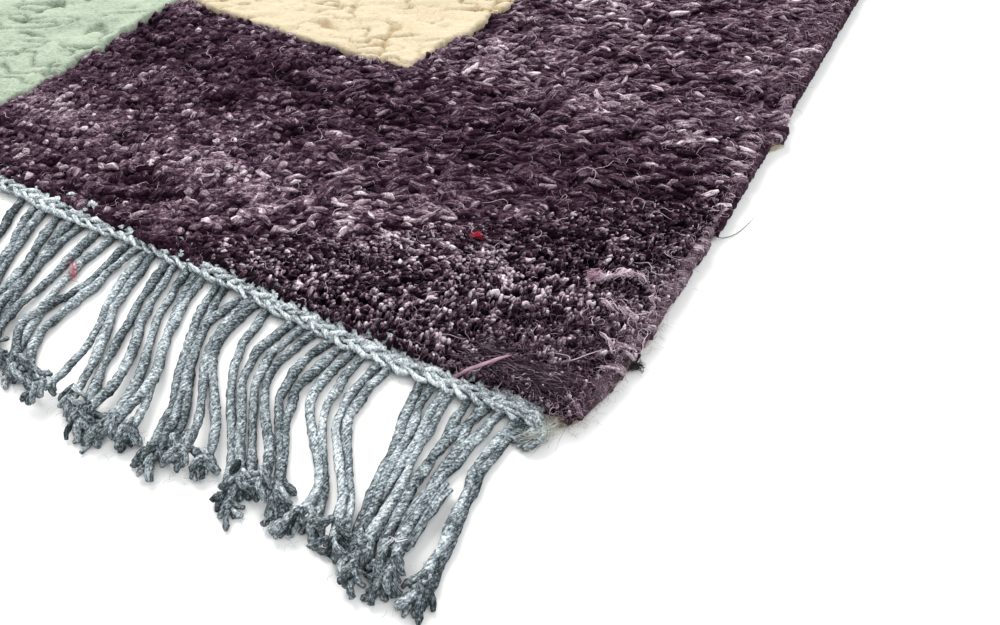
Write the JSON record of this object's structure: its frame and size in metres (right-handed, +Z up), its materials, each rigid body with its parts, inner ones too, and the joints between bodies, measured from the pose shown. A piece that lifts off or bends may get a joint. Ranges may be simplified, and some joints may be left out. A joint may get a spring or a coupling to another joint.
{
  "type": "nepalese rug",
  "caption": "Hand-knotted wool pile rug with plain colour blocks, overcast sides, braided end headings and twisted cotton fringes.",
  "frame": {"origin": "on the floor under the middle of the whole outline, fringes included", "axes": "+Z up from the floor through the pile, +Y along the length from the near fringe to the far one, +X across to the right side"},
  "size_m": [0.9088, 1.6692, 0.012],
  "materials": {
    "pile_wool": "deep cut wool pile, dark aubergine with pale slubs, cream and sage green blocks, fuzzy and matt",
    "overcast_wool": "thick dark wool wrapped over the edge, hairy",
    "braid_cotton": "slate grey cotton braid, heathered, a little frayed",
    "fringe_cotton": "slate grey twisted cotton cords with flecks, frayed at their tips"
  },
  "bodies": {
    "root": {"rug_body": "pile_wool", "selvedge_left": "overcast_wool", "selvedge_right": "overcast_wool", "heading_near": "braid_cotton", "heading_far": "braid_cotton", "fringe_near": "fringe_cotton", "fringe_far": "fringe_cotton"}
  },
  "joints": []
}
